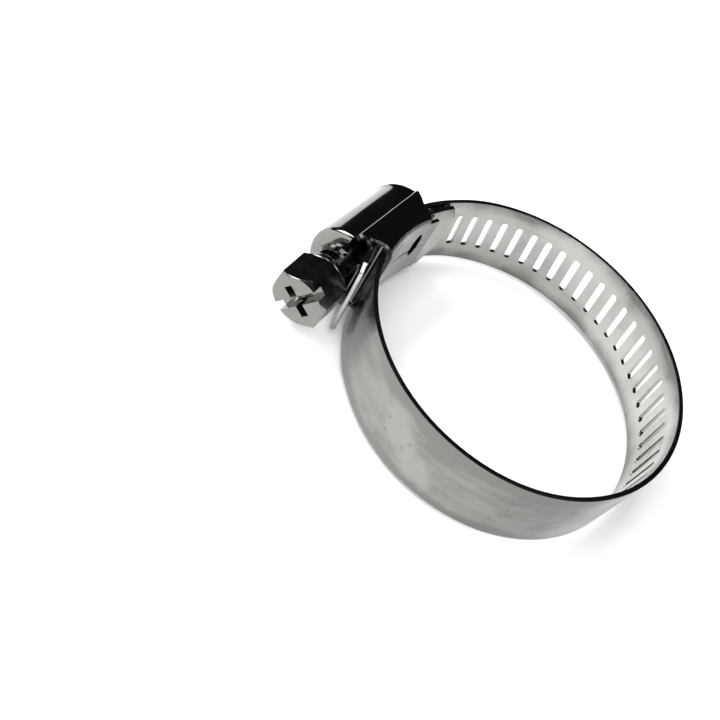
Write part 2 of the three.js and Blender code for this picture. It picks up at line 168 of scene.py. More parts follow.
class Effects:
    """The shader groups that the finishes share, each built once."""

    @cached_property
    def grain(self) -> bpy.types.NodeTree:
        """Fine drawn lines: noise stretched along the first axis of its vector.

        Returns:
            The shader group.
        """
        tree, kit = new_group("rolled_grain", [
            ("Vector", "NodeSocketVector", None),
            ("Along", "NodeSocketFloat", 60.0),
            ("Across", "NodeSocketFloat", 5200.0)],
            [("Grain", "NodeSocketFloat"), ("Streaks", "NodeSocketFloat")])
        start = kit.add("NodeGroupInput")
        end = kit.add("NodeGroupOutput")
        for label, share in (("Grain", 1.0), ("Streaks", 0.16)):
            scale = kit.add("ShaderNodeCombineXYZ")
            kit.join(start.outputs["Along"], scale.inputs[0])
            across = kit.maths("MULTIPLY", start.outputs["Across"], share)
            kit.join(across, scale.inputs[1])
            kit.join(across, scale.inputs[2])
            stretch = kit.add("ShaderNodeVectorMath", operation="MULTIPLY")
            kit.join(start.outputs["Vector"], stretch.inputs[0])
            kit.join(scale.outputs[0], stretch.inputs[1])
            noise = kit.add("ShaderNodeTexNoise")
            noise.inputs["Scale"].default_value = 1.0
            noise.inputs["Detail"].default_value = 3.0
            noise.inputs["Roughness"].default_value = 0.6
            kit.join(stretch.outputs[0], noise.inputs["Vector"])
            kit.join(noise.outputs["Fac"], end.inputs[label])
        return tree

    @cached_property
    def blotches(self) -> bpy.types.NodeTree:
        """Handling marks: broad soft patches and a few small dull specks.

        Returns:
            The shader group.
        """
        tree, kit = new_group("handling_marks", [
            ("Vector", "NodeSocketVector", None),
            ("Patch Scale", "NodeSocketFloat", 90.0),
            ("Speck Scale", "NodeSocketFloat", 900.0)],
            [("Patches", "NodeSocketFloat"), ("Specks", "NodeSocketFloat")])
        start = kit.add("NodeGroupInput")
        end = kit.add("NodeGroupOutput")
        patch = kit.add("ShaderNodeTexNoise")
        patch.inputs["Detail"].default_value = 4.0
        patch.inputs["Distortion"].default_value = 0.6
        kit.join(start.outputs["Vector"], patch.inputs["Vector"])
        kit.join(start.outputs["Patch Scale"], patch.inputs["Scale"])
        kit.join(kit.spread(patch.outputs["Fac"], 0.38, 0.68), end.inputs["Patches"])
        speck = kit.add("ShaderNodeTexNoise")
        speck.inputs["Detail"].default_value = 2.0
        kit.join(start.outputs["Vector"], speck.inputs["Vector"])
        kit.join(start.outputs["Speck Scale"], speck.inputs["Scale"])
        kit.join(kit.spread(speck.outputs["Fac"], 0.66, 0.74), end.inputs["Specks"])
        return tree

    @cached_property
    def rim_painted_shade(self) -> bpy.types.NodeTree:
        """Painted shade at the rims: a mask that grows towards two edges, with a ragged border.

        Returns:
            The shader group.
        """
        tree, kit = new_group("rim_painted_shade", [
            ("Vector", "NodeSocketVector", None),
            ("Middle", "NodeSocketFloat", 0.00635),
            ("Half", "NodeSocketFloat", 0.00635),
            ("Reach", "NodeSocketFloat", 0.0025)],
            [("Mask", "NodeSocketFloat")])
        start = kit.add("NodeGroupInput")
        end = kit.add("NodeGroupOutput")
        axes = kit.add("ShaderNodeSeparateXYZ")
        kit.join(start.outputs["Vector"], axes.inputs[0])
        ragged = kit.add("ShaderNodeTexNoise")
        ragged.inputs["Scale"].default_value = 120.0
        ragged.inputs["Detail"].default_value = 3.0
        kit.join(start.outputs["Vector"], ragged.inputs["Vector"])
        off = kit.maths("ABSOLUTE", kit.maths("SUBTRACT", axes.outputs[1],
                                              start.outputs["Middle"]))
        gap = kit.maths("SUBTRACT", start.outputs["Half"], off)
        near = kit.maths("SUBTRACT", 1.0, kit.maths("DIVIDE", gap, start.outputs["Reach"]))
        soft = kit.spread(ragged.outputs["Fac"], 0.3, 0.7, -0.35, 0.35)
        mask = kit.spread(kit.maths("ADD", near, soft), 0.0, 1.0)
        kit.join(kit.maths("POWER", mask, 1.6), end.inputs["Mask"])
        return tree

    @cached_property
    def ripple(self) -> bpy.types.NodeTree:
        """Slow waviness of rolled or stamped sheet, as a height.

        Returns:
            The shader group.
        """
        tree, kit = new_group("sheet_ripple", [
            ("Vector", "NodeSocketVector", None),
            ("Scale", "NodeSocketFloat", 160.0)],
            [("Height", "NodeSocketFloat")])
        start = kit.add("NodeGroupInput")
        end = kit.add("NodeGroupOutput")
        wave = kit.add("ShaderNodeTexNoise")
        wave.inputs["Detail"].default_value = 1.0
        wave.inputs["Roughness"].default_value = 0.4
        kit.join(start.outputs["Vector"], wave.inputs["Vector"])
        kit.join(start.outputs["Scale"], wave.inputs["Scale"])
        kit.join(wave.outputs["Fac"], end.inputs["Height"])
        return tree


# ---- finishes -------------------------------------------------------------------------


class PatternSource(Enum):
    """What a finish's pattern follows."""

    STRIP_MAP = "strip"
    OBJECT = "object"


# How far along the strip's map its outside is laid from its inside, in metres. The shift marks
# the outside faces, whose colour gets painted shade.
PAINTED_SHADE_CHART_SHIFT = 1.0


@dataclass(frozen=True)
class SteelFinish:
    """One stainless finish: its colour, polish, drawn grain and handling marks, and on the strip
    painted shade at its rims and on its outside.
    """

    label: str
    # The tone runs from bright to dull; handling marks and, on the strip, painted shade darken
    # it towards dull.
    bright: tuple[float, float, float]
    dull: tuple[float, float, float]
    roughness: Point
    grain_along: float
    grain_across: float
    grain_depth: float
    ripple_scale: float
    ripple_depth: float
    turn: tuple[float, float, float] = (0.0, 0.0, 0.0)
    source: PatternSource = PatternSource.OBJECT
    speck_strength: float = 0.5
    # How far painted shade darkens the strip at its rims and on its outside.
    rim_painted_shade_strength: float = 0.8
    outside_painted_shade: float = 0.65

    def coordinates(self, kit: NodeKit) -> bpy.types.NodeSocket:
        """Places the nodes that give the pattern's vector, and returns it."""
        if self.source is PatternSource.STRIP_MAP:
            node = kit.add("ShaderNodeUVMap", uv_map=self.source.value)
            return node.outputs["UV"]
        coords = kit.add("ShaderNodeTexCoord")
        mapping = kit.add("ShaderNodeMapping")
        mapping.inputs["Rotation"].default_value = self.turn
        kit.join(coords.outputs["Object"], mapping.inputs["Vector"])
        return mapping.outputs["Vector"]

    def group(self, kit: NodeKit, tree: bpy.types.NodeTree, vector: bpy.types.NodeSocket,
              **values: float) -> bpy.types.Node:
        """Places a shared group fed by the pattern's vector.

        Args:
            kit: the material's node kit.
            tree: the group to place.
            vector: the pattern's vector.
            values: the group's other inputs by name, with _ for a space.

        Returns:
            The group's node.
        """
        node = kit.add("ShaderNodeGroup", node_tree=tree)
        kit.join(vector, node.inputs["Vector"])
        for key, value in values.items():
            node.inputs[key.replace("_", " ")].default_value = value
        return node

    def material(self, effects: Effects) -> bpy.types.Material:
        """Builds the material.

        Args:
            effects: the shared shader groups.

        Returns:
            The finished material.
        """
        made = bpy.data.materials.new(self.label)
        made.use_nodes = True
        made.node_tree.nodes.clear()
        kit = NodeKit(made.node_tree)
        vector = self.coordinates(kit)
        grain = self.group(kit, effects.grain, vector,
                           Along=self.grain_along, Across=self.grain_across)
        marks = self.group(kit, effects.blotches, vector)
        wave = self.group(kit, effects.ripple, vector, Scale=self.ripple_scale)

        tone = kit.add("ShaderNodeMix", data_type="RGBA")
        tone.inputs[6].default_value = (*self.bright, 1.0)
        tone.inputs[7].default_value = (*self.dull, 1.0)
        mix = kit.maths("MULTIPLY", marks.outputs["Patches"], grain.outputs["Streaks"])
        dirt = kit.maths("MULTIPLY", marks.outputs["Specks"], self.speck_strength)
        shade = kit.maths("ADD", mix, dirt)
        if self.source is PatternSource.STRIP_MAP:
            # Painted shade: the strip's colour darkens towards both rims.
            rims = self.group(kit, effects.rim_painted_shade, vector)
            shade = kit.maths("ADD", shade, kit.maths("MULTIPLY", rims.outputs["Mask"],
                                                      self.rim_painted_shade_strength))
            # Painted shade: the strip's outside, charted one shift along, is darker than its
            # inside.
            parts = kit.add("ShaderNodeSeparateXYZ")
            kit.join(vector, parts.inputs[0])
            outside = kit.maths("GREATER_THAN", parts.outputs["X"], PAINTED_SHADE_CHART_SHIFT / 2)
            shade = kit.maths("ADD", shade, kit.maths("MULTIPLY", outside,
                                                      self.outside_painted_shade))
        kit.join(shade, tone.inputs[0])

        low, high = self.roughness
        base = kit.spread(marks.outputs["Patches"], 0.0, 1.0, low, high)
        fine = kit.spread(grain.outputs["Grain"], 0.3, 0.7, -0.03, 0.05)
        rough = kit.maths("ADD", base, fine)

        lines = kit.add("ShaderNodeBump")
        lines.inputs["Strength"].default_value = 1.0
        lines.inputs["Distance"].default_value = self.grain_depth * MM
        kit.join(grain.outputs["Grain"], lines.inputs["Height"])
        bend = kit.add("ShaderNodeBump")
        bend.inputs["Strength"].default_value = 1.0
        bend.inputs["Distance"].default_value = self.ripple_depth * MM
        kit.join(wave.outputs["Height"], bend.inputs["Height"])
        kit.join(lines.outputs["Normal"], bend.inputs["Normal"])

        shader = kit.add("ShaderNodeBsdfPrincipled")
        shader.inputs["Metallic"].default_value = 1.0
        kit.join(tone.outputs[2], shader.inputs["Base Color"])
        kit.join(rough, shader.inputs["Roughness"])
        kit.join(bend.outputs["Normal"], shader.inputs["Normal"])
        output = kit.add("ShaderNodeOutputMaterial")
        kit.join(shader.outputs["BSDF"], output.inputs["Surface"])
        return made


QUARTER = math.pi / 2

# The strip's wide range from bright to dull makes room for its painted shade at the rims and on
# its outside.
BAND_FINISH = SteelFinish(
    "rolled_band_steel", bright=(0.46, 0.453, 0.435), dull=(0.18, 0.177, 0.169),
    roughness=(0.17, 0.27), grain_along=45.0, grain_across=5200.0, grain_depth=0.0022,
    ripple_scale=150.0, ripple_depth=0.02, source=PatternSource.STRIP_MAP)
HOUSING_FINISH = SteelFinish(
    "polished_housing_steel", bright=(0.24, 0.236, 0.226), dull=(0.17, 0.167, 0.16),
    roughness=(0.07, 0.14), grain_along=120.0, grain_across=3800.0, grain_depth=0.001,
    ripple_scale=170.0, ripple_depth=0.035, turn=(0.0, 0.0, -QUARTER))
SADDLE_FINISH = SteelFinish(
    "plain_saddle_steel", bright=(0.55, 0.54, 0.52), dull=(0.42, 0.41, 0.39),
    roughness=(0.2, 0.32), grain_along=120.0, grain_across=4200.0, grain_depth=0.002,
    ripple_scale=260.0, ripple_depth=0.02, turn=(0.0, 0.0, -QUARTER))
SCREW_FINISH = SteelFinish(
    "cold_formed_screw_steel", bright=(0.22, 0.216, 0.205), dull=(0.14, 0.137, 0.131),
    roughness=(0.14, 0.26), grain_along=700.0, grain_across=2600.0, grain_depth=0.0025,
    ripple_scale=520.0, ripple_depth=0.03, turn=(0.0, 0.0, -QUARTER))


# ---- mesh helpers ---------------------------------------------------------------------


def flat_grid(columns: Sequence[float], rows: Sequence[float]) -> bmesh.types.BMesh:
    """A flat grid of faces with its lines at given stations.

    Args:
        columns: X of each line across.
        rows: Y of each line along.

    Returns:
        The grid as a bmesh.
    """
    mesh = bmesh.new()
    nx, ny = len(columns) - 1, len(rows) - 1
    bmesh.ops.create_grid(mesh, x_segments=nx, y_segments=ny, size=1.0)
    for vert in mesh.verts:
        i = round((vert.co.x + 1.0) / 2.0 * nx)
        j = round((vert.co.y + 1.0) / 2.0 * ny)
        vert.co = Vector((columns[i], rows[j], 0.0))
    return mesh


def sharp_edges(mesh: bmesh.types.BMesh, degrees: float) -> list[bmesh.types.BMEdge]:
    """Edges whose two faces meet at more than an angle."""
    limit = math.radians(degrees)
    return [edge for edge in mesh.edges
            if len(edge.link_faces) == 2 and edge.calc_face_angle(0.0) > limit]


def round_edges(mesh: bmesh.types.BMesh, edges: Iterable[bmesh.types.BMEdge],
                width: float, segments: int = 2) -> None:
    """Bevels edges to a small radius.

    Args:
        mesh: the bmesh to change.
        edges: the edges to round.
        width: how far the bevel reaches from each edge.
        segments: how many faces make the round.
    """
    bmesh.ops.bevel(mesh, geom=list(edges), offset=width, offset_type="OFFSET",
                    segments=segments, profile=0.5, affect="EDGES", material=-1,
                    clamp_overlap=True, loop_slide=True)


def finish_object(name: str, mesh: bmesh.types.BMesh, material: bpy.types.Material,
                  sharp: float = 40.0, recalc: bool = True) -> bpy.types.Object:
    """Turns a bmesh in millimetres into an object in metres, smooth with sharp corners.

    Args:
        name: the object's name.
        mesh: the bmesh, freed here.
        material: its finish.
        sharp: the angle past which an edge stays sharp, in degrees.
        recalc: whether the faces are turned outwards first.

    Returns:
        The object, at the origin.
    """
    bmesh.ops.transform(mesh, matrix=Matrix.Scale(MM, 4), verts=mesh.verts)
    if recalc:
        bmesh.ops.recalc_face_normals(mesh, faces=mesh.faces)
    for face in mesh.faces:
        face.smooth = True
    data = bpy.data.meshes.new(name)
    mesh.to_mesh(data)
    mesh.free()
    data.set_sharp_from_angle(angle=math.radians(sharp))
    data.materials.append(material)
    made = bpy.data.objects.new(name, data)
    bpy.context.scene.collection.objects.link(made)
    return made


def loose_object(name: str, mesh: bmesh.types.BMesh) -> bpy.types.Object:
    """Keeps a bmesh as a plain object, for an operation that needs one.

    Args:
        name: the object's name.
        mesh: the bmesh, freed here.

    Returns:
        The object.
    """
    data = bpy.data.meshes.new(name)
    mesh.to_mesh(data)
    mesh.free()
    made = bpy.data.objects.new(name, data)
    bpy.context.scene.collection.objects.link(made)
    return made


def settled(loose: bpy.types.Object) -> bmesh.types.BMesh:
    """Takes an object's mesh with its modifiers applied, and removes the object.

    Args:
        loose: the object, removed here.

    Returns:
        The finished mesh.
    """
    graph = bpy.context.evaluated_depsgraph_get()
    result = bpy.data.meshes.new_from_object(loose.evaluated_get(graph))
    mesh = bmesh.new()
    mesh.from_mesh(result)
    data = loose.data
    bpy.data.objects.remove(loose)
    bpy.data.meshes.remove(data)
    bpy.data.meshes.remove(result)
    return mesh


def put_in_order(mesh: bmesh.types.BMesh) -> None:
    """Orders vertices and faces by where they lie, so that each run gives the same mesh."""
    def rank(spot: Vector) -> float:
        """A number that depends only on a point's rounded place."""
        return sum(round(c, 3) * w for c, w in zip(spot, (1.0, 173.205, 31415.9)))
    mesh.verts.sort(key=lambda vert: rank(vert.co))
    mesh.faces.sort(key=lambda face: rank(face.calc_center_median()))
    mesh.verts.index_update()
    mesh.faces.index_update()


def carve(mesh: bmesh.types.BMesh, tool: bmesh.types.BMesh,
          operation: str = "DIFFERENCE") -> bmesh.types.BMesh:
    """Cuts one closed bmesh with another.

    Args:
        mesh: the body, freed here.
        tool: the cutter, freed here.
        operation: the boolean's operation.

    Returns:
        The cut body.
    """
    body = loose_object("body", mesh)
    cutter = loose_object("cutter", tool)
    cut = body.modifiers.new("cut", "BOOLEAN")
    cut.object = cutter
    cut.operation = operation
    cut.solver = "EXACT"
    cut.use_self = operation == "DIFFERENCE"
    result = settled(body)
    data = cutter.data
    bpy.data.objects.remove(cutter)
    bpy.data.meshes.remove(data)
    put_in_order(result)
    bmesh.ops.remove_doubles(result, verts=result.verts, dist=WELD)
    put_in_order(result)
    return result


def joined(mesh: bmesh.types.BMesh, other: bmesh.types.BMesh) -> bmesh.types.BMesh:
    """Adds another bmesh's faces to the first, and frees the other."""
    spare = bpy.data.meshes.new("spare")
    other.to_mesh(spare)
    other.free()
    mesh.from_mesh(spare)
    bpy.data.meshes.remove(spare)
    return mesh


def oval_prism(half_width: float, half_height: float, depth: float) -> bmesh.types.BMesh:
    """An oval standing in the plane of the first two axes, run along the third.

    Args:
        half_width: half of its size along X.
        half_height: half of its size along Y.
        depth: its length along Z, centred.

    Returns:
        The closed prism.
    """
    mesh = bmesh.new()
    ring = bmesh.ops.create_circle(mesh, cap_ends=True, radius=1.0, segments=40)
    bmesh.ops.scale(mesh, vec=Vector((half_width, half_height, 1.0)), verts=ring["verts"])
    bmesh.ops.translate(mesh, vec=Vector((0, 0, -depth / 2)), verts=mesh.verts)
    made = bmesh.ops.extrude_face_region(mesh, geom=list(mesh.faces))
    raised = [v for v in made["geom"] if isinstance(v, bmesh.types.BMVert)]
    bmesh.ops.translate(mesh, vec=Vector((0, 0, depth)), verts=raised)
    bmesh.ops.recalc_face_normals(mesh, faces=mesh.faces)
    return mesh


def outline_prism(outline: Sequence[Point], low: float, high: float) -> bmesh.types.BMesh:
    """A flat outline seen along Z, run between two heights.

    Args:
        outline: its corners in order, as (x, y).
        low: height of its lower end.
        high: height of its upper end.

    Returns:
        The closed prism.
    """
    mesh = bmesh.new()
    mesh.faces.new([mesh.verts.new((x, y, low)) for x, y in outline])
    made = bmesh.ops.extrude_face_region(mesh, geom=list(mesh.faces))
    raised = [v for v in made["geom"] if isinstance(v, bmesh.types.BMVert)]
    bmesh.ops.translate(mesh, vec=Vector((0, 0, high - low)), verts=raised)
    bmesh.ops.recalc_face_normals(mesh, faces=mesh.faces)
    return mesh


@dataclass(frozen=True)
class LensWindow:
    """The lens-shaped window through the folded wings and the band's fixed end."""

    y: float = 4.1
    rise: float = 1.0
    half_width: float = 0.85
    half_height: float = 2.4


def stations(low: float, high: float, step: float) -> list[float]:
    """Evenly spaced stations from low to high, about a step apart."""
    count = max(1, round((high - low) / step))
    return [low + (high - low) * i / count for i in range(count + 1)]


# ---- band -----------------------------------------------------------------------------


@dataclass(frozen=True)
class LoopPath:
    """The strip's mid-thickness curve, from its fixed end once round to its tail."""

    centre: tuple[float, float, float] = (3.98123, 0.0511, 1.1)
    width: float = 12.7
    thickness: float = 0.65
    controls: tuple[Point, ...] = (
        (150, 23.62), (180, 23.62), (198, 23.62), (212, 23.55), (240, 23.71),
        (270, 24.05), (300, 24.5), (330, 24.55), (360, 24.26), (390, 24.05),
        (420, 23.98), (450, 23.95), (480, 24.2), (500, 24.55), (512, 24.72),
        (525, 25.08), (540, 25.3), (556, 25.5), (572, 25.55))

    @cached_property
    def samples(self) -> tuple[np.ndarray, np.ndarray, np.ndarray]:
        """Angle, radius and arc length at close steps along the smooth curve.

        Returns:
            The angles, radii and lengths along the strip of the sampled path.
        """
        points = np.array(self.controls, float)
        spots = np.linspace(0.0, len(points) - 1.0, 901)
        index = np.minimum(spots.astype(int), len(points) - 2)
        t = (spots - index)[:, None]
        last = len(points) - 1
        p0 = points[np.where(index == 0, index, index - 1)]
        p1, p2 = points[index], points[np.minimum(index + 1, last)]
        p3 = points[np.minimum(index + 2, last)]
        v0, v1 = (p2 - p0) / 2, (p3 - p1) / 2
        curve = ((2 * p1 - 2 * p2 + v0 + v1) * t ** 3
                 + (-3 * p1 + 3 * p2 - 2 * v0 - v1) * t ** 2 + v0 * t + p1)
        angle, radius = curve[:, 0], curve[:, 1]
        turn = np.radians(angle)
        x, y = radius * np.cos(turn), radius * np.sin(turn)
        length = np.concatenate([[0.0], np.cumsum(np.hypot(np.diff(x), np.diff(y)))])
        return angle, radius, length

    def along(self, angle: float) -> float:
        """Arc length from the curve's start at an angle along the strip."""
        angles, _, lengths = self.samples
        return float(np.interp(angle, angles, lengths))

    def angle_at(self, length: float) -> float:
        """Angle along the strip at an arc length."""
        angles, _, lengths = self.samples
        return float(np.interp(length, lengths, angles))

    def place(self, length: float, height: float, proud: float) -> Vector:
        """A point of the bent strip.

        Args:
            length: arc length along the strip.
            height: height above the lower rim.
            proud: distance outside the mid-thickness curve.

        Returns:
            The point in the part's frame, in millimetres.
        """
        angles, radii, lengths = self.samples
        angle = math.radians(float(np.interp(length, lengths, angles)))
        radius = float(np.interp(length, lengths, radii)) + proud
        return Vector((self.centre[0] + radius * math.cos(angle),
                       self.centre[1] + radius * math.sin(angle),
                       self.centre[2] + height))


@dataclass(frozen=True)
class SlotRow:
    """The row of slanted slots that the worm's thread runs in."""

    pitch: float = 2.69
    length: float = 6.57
    width: float = 1.1
    slant: float = 7.5
    datum_angle: float = 505.06
    first_angle: float = 341.0
    last_angle: float = 564.0
    end_angles: tuple[float, ...] = (90.0, 72.0, 50.0, 26.0, 0.0)

    def centres(self, path: LoopPath) -> list[float]:
        """Arc lengths of the slots' middles, one pitch apart."""
        datum = path.along(self.datum_angle)
        back = math.floor((datum - path.along(self.first_angle)) / self.pitch)
        ahead = math.floor((path.along(self.last_angle) - datum) / self.pitch)
        return [datum + k * self.pitch for k in range(-back, ahead + 1)]

    def lean(self, path: LoopPath, length: float, height: float) -> float:
        """How far a line across the strip leans along it, at a place on the strip.

        Args:
            path: the strip's curve.
            length: arc length along the strip, before leaning.
            height: height above the lower rim.

        Returns:
            The shift along the strip, which is none outside the slotted part.
        """
        middles = self.centres(path)
        reach = self.pitch / 2 + 0.01
        if not middles[0] - reach <= length <= middles[-1] + reach:
            return 0.0
        across = height - path.width / 2
        fade = max(0.0, min(1.0, (path.width / 2 - 0.2 - abs(across)) / 1.6))
        return math.tan(math.radians(self.slant)) * across * fade

    def seam_after(self, path: LoopPath, angle: float) -> float:
        """The angle halfway between two slots that lies nearest to a given one."""
        target = path.along(angle)
        spots = [middle + self.pitch / 2 for middle in self.centres(path)]
        return path.angle_at(min(spots, key=lambda s: abs(s - target)))

    def columns(self) -> list[float]:
        """Stations of the grid lines of one slot, from its middle to half a pitch out."""
        half = self.width / 2
        rounds = [half * math.sin(math.radians(a)) for a in self.end_angles]
        inner = sorted(rounds)
        return [*inner, half + 0.13, self.pitch / 2]


@dataclass
class BandStretch:
    """One visible stretch of the strip; its flexing place is given but nothing bends there."""

    name: str
    start: float
    end: float
    replaces: tuple[str, ...]
    bodies: tuple[Body, Body]
    flex_angle: float
    flex_reach: float
    clip_start: bool = False
    cut_tail: bool = False
    path: LoopPath = field(default_factory=LoopPath)
    slots: SlotRow = field(default_factory=SlotRow)
    edge_round: float = 0.2
    low_corner: Point = (4.2, 1.95)
    high_corner: Point = (1.7, 1.0)
    tail_slant: float = 1.6
    window: LensWindow = field(default_factory=LensWindow)
    window_angle: float = 170.0

    def own_slots(self) -> list[float]:
        """Middles of the slots that lie in this stretch."""
        low, high = self.path.along(self.start), self.path.along(self.end)
        return [s for s in self.slots.centres(self.path) if low < s < high]

    def column_stations(self) -> list[float]:
        """Stations of the grid lines along the strip, close together at each slot.

        Returns:
            The stations in order, in millimetres.
        """
        low, high = self.path.along(self.start), self.path.along(self.end)
        lines = {low, high}
        offsets = self.slots.columns()
        own = self.own_slots()
        for middle in own:
            for offset in offsets:
                lines.update((round(middle - offset, 6), round(middle + offset, 6)))
        plain_from = low
        plain_to = own[0] - self.slots.pitch / 2 if own else high
        if plain_to - plain_from > 1.0:
            lines.update(stations(plain_from, plain_to, 1.2))
        if own and high - own[-1] > self.slots.pitch:
            lines.update(stations(own[-1] + self.slots.pitch / 2, high, 1.2))
        kept: list[float] = []
        for value in sorted(v for v in lines if low <= v <= high):
            if kept and value - kept[-1] < 0.02:
                continue
            kept.append(value)
        kept[-1] = high
        return kept

    def row_stations(self) -> list[float]:
        """Heights of the grid lines across the strip."""
        middle = self.path.width / 2
        half = self.slots.length / 2
        top = [half - self.slots.width / 2, half, half + 0.13, half + 0.9,
               middle - 0.9, middle - 0.28, middle]
        return [*(middle - t for t in reversed(top)), middle, *(middle + t for t in top)]

    def open_slots(self, mesh: bmesh.types.BMesh) -> None:
        """Cuts each slot out of the flat grid, rounds its ends and slants it.

        Args:
            mesh: the flat grid, X along the strip and Y across it.
        """
        middle = self.path.width / 2
        half = self.slots.length / 2
        radius = self.slots.width / 2
        own = self.own_slots()
        gone = []
        for face in mesh.faces:
            centre = face.calc_center_median()
            near = min(own, key=lambda s: abs(s - centre.x)) if own else 1e9
            if abs(near - centre.x) < radius and abs(centre.y - middle) < half:
                gone.append(face)
        bmesh.ops.delete(mesh, geom=gone, context="FACES")
        for vert in mesh.verts if own else ():
            near = min(own, key=lambda s: abs(s - vert.co.x))
            across = vert.co.y - middle
            beside = abs(vert.co.x - near)
            reach = max(0.0, min(1.0, (half + 1.0 - abs(across)) / 1.0))
            if abs(across) > half - radius + 0.01 and beside < self.slots.pitch / 2:
                drop = radius - math.sqrt(max(0.0, radius ** 2 - min(beside, radius) ** 2))
                if beside > radius:
                    drop *= max(0.0, 1 - (beside - radius) / (self.slots.pitch / 2 - radius))
                vert.co.y -= math.copysign(drop * reach, across)
        for vert in mesh.verts:
            vert.co.x += self.slots.lean(self.path, vert.co.x, vert.co.y)

    def trim_ends(self, mesh: bmesh.types.BMesh) -> None:
        """Clips the corners of the fixed end, or cuts the tail off askew.

        Args:
            mesh: the flat strip, cut in place.
        """
        width = self.path.width
        planes: list[tuple[Point, Point]] = []
        if self.clip_start:
            start = self.path.along(self.start)
            height, run = self.low_corner
            planes.append(((start, height), (start + run, 0.0)))
            height, run = self.high_corner
            planes.append(((start + run, width), (start, width - height)))
        if self.cut_tail:
            end = self.path.along(self.end)
            planes.append(((end, 0.0), (end - self.tail_slant, width)))
            planes.append(((end - 0.4, 0.0), (end - 0.05, 0.35)))
            planes.append(((end - self.tail_slant, width - 0.9),
                           (end - self.tail_slant - 1.0, width)))
        for (x0, y0), (x1, y1) in planes:
            # The kept side is on the left of the line from the first point to the second.
            outward = Vector((y1 - y0, x0 - x1, 0.0)).normalized()
            bmesh.ops.bisect_plane(
                mesh, geom=[*mesh.verts, *mesh.edges, *mesh.faces], dist=1e-5,
                plane_co=Vector((x0, y0, 0.0)), plane_no=outward, clear_outer=True)

    def thicken(self, mesh: bmesh.types.BMesh) -> None:
        """Gives the flat grid the strip's thickness."""
        half = self.path.thickness / 2
        bmesh.ops.translate(mesh, vec=Vector((0, 0, -half)), verts=mesh.verts)
        made = bmesh.ops.extrude_face_region(mesh, geom=list(mesh.faces))
        raised = [item for item in made["geom"] if isinstance(item, bmesh.types.BMVert)]
        bmesh.ops.translate(mesh, vec=Vector((0, 0, 2 * half)), verts=raised)
        bmesh.ops.recalc_face_normals(mesh, faces=mesh.faces)

    def is_joint_line(self, spot: Vector) -> bool:
        """Whether a point lies where this stretch runs on into the next."""
        ends = []
        if not self.clip_start:
            ends.append(self.path.along(self.start))
        if not self.cut_tail:
            ends.append(self.path.along(self.end))
        return any(abs(spot.x - end - self.slots.lean(self.path, end, spot.y)) < 1e-3
                   for end in ends)

    def build(self, finish: bpy.types.Material) -> bpy.types.Object:
        """Builds, bends and dresses the stretch.

        Args:
            finish: the strip's material.

        Returns:
            The strip as an object, bent round the loop.
        """
        mesh = flat_grid(self.column_stations(), self.row_stations())
        self.open_slots(mesh)
        self.trim_ends(mesh)
        self.thicken(mesh)
        if self.clip_start:
            hole = oval_prism(self.window.half_width, self.window.half_height, 4.0)
            spot = Vector((self.path.along(self.window_angle),
                           self.path.width / 2 + self.window.rise, 0.0))
            bmesh.ops.translate(hole, vec=spot, verts=hole.verts)
            mesh = carve(mesh, hole)
        edges = [e for e in sharp_edges(mesh, 40.0)
                 if not all(self.is_joint_line(v.co) for v in e.verts)]
        round_edges(mesh, edges, self.edge_round)
        chart = mesh.loops.layers.uv.new(PatternSource.STRIP_MAP.value)
        mesh.normal_update()
        # Faces on the strip's outside are charted one shift along, which marks them for painted
        # shade.
        for face in mesh.faces:
            shift = PAINTED_SHADE_CHART_SHIFT if face.normal.z > FACING_OUT else 0.0
            for loop in face.loops:
                spot = loop.vert.co
                loop[chart].uv = (spot.x * MM + shift, (spot.y + 0.5 * spot.z) * MM)
        for vert in mesh.verts:
            vert.co = self.path.place(vert.co.x, vert.co.y, vert.co.z)
        made = finish_object(self.name, mesh, finish, sharp=50.0)
        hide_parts(*self.replaces)
        self.flex(made)
        return made

    def flex(self, made: bpy.types.Object) -> None:
        """Bakes the strip's place into its mesh; the ends of its flexing place are worked out
        but not used.
        """
        middle = self.path.along(self.flex_angle)
        ends = [self.path.place(middle + side * self.flex_reach, self.path.width / 2, 0.0)
                for side in (-1.0, 1.0)]
        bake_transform(made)


@dataclass
class Band:
    """The whole spring strip, as three stretches that meet on rigid lines."""

    path: LoopPath = field(default_factory=LoopPath)

    def stretches(self) -> list[BandStretch]:
        """The fixed end, the far side and the tongue.

        Returns:
            The stretches in order along the strip.
        """
        seam = SlotRow().seam_after(self.path, 420.0)
        return [
            BandStretch("band_fixed_stretch", 152.0, 300.0, ("band_fixed_end",),
                        (Body.HOUSING, Body.HEAD_SIDE), 240.0, 13.0, clip_start=True,
                        path=self.path),
            BandStretch("band_far_stretch", 300.0, seam,
                        ("band_head_side", "band_tip_side"),
                        (Body.HEAD_SIDE, Body.TIP_SIDE), 360.0, 13.0, path=self.path),
            BandStretch("band_tongue_stretch", seam, 570.5, ("band_tongue",),
                        (Body.TIP_SIDE, Body.TONGUE), 480.0, 9.0, cut_tail=True,
                        path=self.path),
        ]

    def build(self, finish: bpy.types.Material) -> list[bpy.types.Object]:
        """Builds each stretch in order."""
        return [stretch.build(finish) for stretch in self.stretches()]


# ---- housing and saddle ---------------------------------------------------------------


